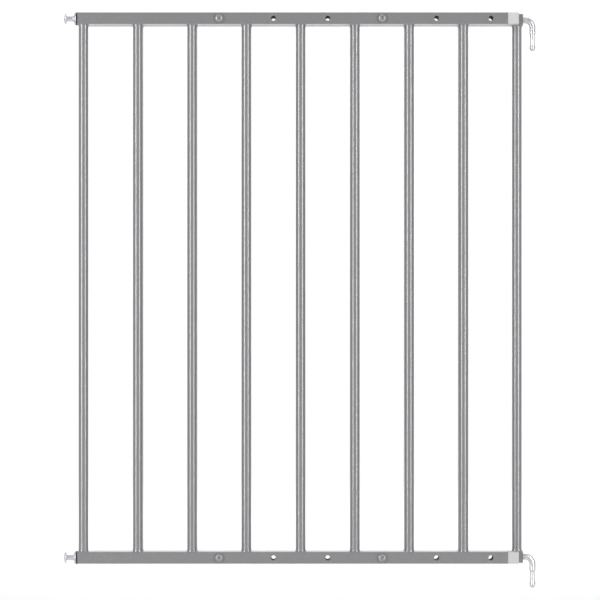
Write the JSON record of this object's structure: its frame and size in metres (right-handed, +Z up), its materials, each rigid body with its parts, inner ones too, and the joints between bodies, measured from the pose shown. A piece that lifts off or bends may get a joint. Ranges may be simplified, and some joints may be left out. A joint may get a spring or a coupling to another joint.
{
  "type": "safety baby gate",
  "caption": "Extending metal safety gate for a doorway or stair: two overlapping barred panels screwed together, hinge hooks at one end and latch studs at the other.",
  "frame": {"origin": "on the hinge axis, half way down the full round of the lower hinge hook", "axes": "+X towards the hinge side, -X towards the latch side, +Z up along the hinge axis, -Y towards the side that shows the screw heads"},
  "size_m": [0.6176, 0.0491, 0.7535],
  "materials": {
    "powder_coat": "satin powder coat, mid grey, fine orange peel",
    "zinc": "bright zinc plate",
    "light_plastic": "light grey moulded plastic",
    "black_plastic": "black moulded plastic"
  },
  "bodies": {
    "rear_panel": {"rear_top_rail": "powder_coat", "rear_top_end_plug": "black_plastic", "rear_top_insert_nut": "zinc", "rear_top_glide_cap": "light_plastic", "rear_bottom_rail": "powder_coat", "rear_bottom_end_plug": "black_plastic", "rear_bottom_insert_nut": "zinc", "rear_bottom_glide_cap": "light_plastic", "rear_bar_1": "powder_coat", "rear_bar_2": "powder_coat", "rear_bar_3": "powder_coat", "rear_bar_4": "powder_coat", "rear_bar_5": "powder_coat", "rear_bar_6": "powder_coat", "rear_bar_7": "powder_coat", "rear_bar_8": "powder_coat"},
    "front_panel": {"front_top_rail": "powder_coat", "front_top_end_plug": "black_plastic", "front_top_insert_nut": "zinc", "front_top_glide_cap": "light_plastic", "front_bottom_rail": "powder_coat", "front_bottom_end_plug": "black_plastic", "front_bottom_insert_nut": "zinc", "front_bottom_glide_cap": "light_plastic", "front_bar_1": "powder_coat", "front_bar_2": "powder_coat", "front_bar_3": "powder_coat", "front_bar_4": "powder_coat", "front_bar_5": "powder_coat", "front_bar_6": "powder_coat", "front_bar_7": "powder_coat", "front_bar_8": "powder_coat"},
    "hinge_hook_top": {"hinge_hook_top": "zinc"},
    "stud_lock_top": {"stud_lock_nut_top": "zinc", "stud_washer_top": "black_plastic"},
    "latch_stud_top": {"latch_stud_top": "zinc"},
    "panel_screw_top_left": {"panel_screw_top_left": "zinc"},
    "cap_nut_top_left": {"cap_nut_top_left": "zinc", "nut_washer_top_left": "zinc"},
    "panel_screw_top_right": {"panel_screw_top_right": "zinc"},
    "cap_nut_top_right": {"cap_nut_top_right": "zinc", "nut_washer_top_right": "zinc"},
    "hinge_hook_bottom": {"hinge_hook_bottom": "zinc"},
    "stud_lock_bottom": {"stud_lock_nut_bottom": "zinc", "stud_washer_bottom": "black_plastic"},
    "latch_stud_bottom": {"latch_stud_bottom": "zinc"},
    "panel_screw_bottom_left": {"panel_screw_bottom_left": "zinc"},
    "cap_nut_bottom_left": {"cap_nut_bottom_left": "zinc", "nut_washer_bottom_left": "zinc"},
    "panel_screw_bottom_right": {"panel_screw_bottom_right": "zinc"},
    "cap_nut_bottom_right": {"cap_nut_bottom_right": "zinc", "nut_washer_bottom_right": "zinc"}
  },
  "joints": [
    {"name": "panel_slide", "type": "slide", "parent": "rear_panel", "child": "front_panel", "axis": [-1, 0, 0], "range_m": [0, 0.426]},
    {"name": "hinge_hook_top_adjust", "type": "slide", "parent": "rear_panel", "child": "hinge_hook_top", "axis": [1, 0, 0], "range_m": [0, 0.012]},
    {"name": "latch_stud_top_turn", "type": "hinge", "parent": "front_panel", "child": "stud_lock_top", "pos_m": [-0.5961, -0.0165, 0.718], "axis": [-1, 0, 0], "range_deg": [0, 2880]},
    {"name": "latch_stud_top_advance", "type": "slide", "parent": "stud_lock_top", "child": "latch_stud_top", "axis": [-1, 0, 0], "range_m": [0, 0.01002]},
    {"name": "panel_screw_top_left_withdraw", "type": "slide", "parent": "front_panel", "child": "panel_screw_top_left", "axis": [0, -1, 0], "range_m": [0, 0.042]},
    {"name": "cap_nut_top_left_withdraw", "type": "slide", "parent": "front_panel", "child": "cap_nut_top_left", "axis": [0, 1, 0], "range_m": [0, 0.012]},
    {"name": "panel_screw_top_right_withdraw", "type": "slide", "parent": "front_panel", "child": "panel_screw_top_right", "axis": [0, -1, 0], "range_m": [0, 0.042]},
    {"name": "cap_nut_top_right_withdraw", "type": "slide", "parent": "front_panel", "child": "cap_nut_top_right", "axis": [0, 1, 0], "range_m": [0, 0.012]},
    {"name": "hinge_hook_bottom_adjust", "type": "slide", "parent": "rear_panel", "child": "hinge_hook_bottom", "axis": [1, 0, 0], "range_m": [0, 0.012]},
    {"name": "latch_stud_bottom_turn", "type": "hinge", "parent": "front_panel", "child": "stud_lock_bottom", "pos_m": [-0.5961, -0.0165, 0.0135], "axis": [-1, 0, 0], "range_deg": [0, 2880]},
    {"name": "latch_stud_bottom_advance", "type": "slide", "parent": "stud_lock_bottom", "child": "latch_stud_bottom", "axis": [-1, 0, 0], "range_m": [0, 0.01002]},
    {"name": "panel_screw_bottom_left_withdraw", "type": "slide", "parent": "front_panel", "child": "panel_screw_bottom_left", "axis": [0, -1, 0], "range_m": [0, 0.042]},
    {"name": "cap_nut_bottom_left_withdraw", "type": "slide", "parent": "front_panel", "child": "cap_nut_bottom_left", "axis": [0, 1, 0], "range_m": [0, 0.012]},
    {"name": "panel_screw_bottom_right_withdraw", "type": "slide", "parent": "front_panel", "child": "panel_screw_bottom_right", "axis": [0, -1, 0], "range_m": [0, 0.042]},
    {"name": "cap_nut_bottom_right_withdraw", "type": "slide", "parent": "front_panel", "child": "cap_nut_bottom_right", "axis": [0, 1, 0], "range_m": [0, 0.012]}
  ],
  "couplings": [
    {"joint": "latch_stud_top_advance", "follows": "latch_stud_top_turn", "m_per_rad": 0.00019894},
    {"joint": "latch_stud_bottom_advance", "follows": "latch_stud_bottom_turn", "m_per_rad": 0.00019894}
  ]
}
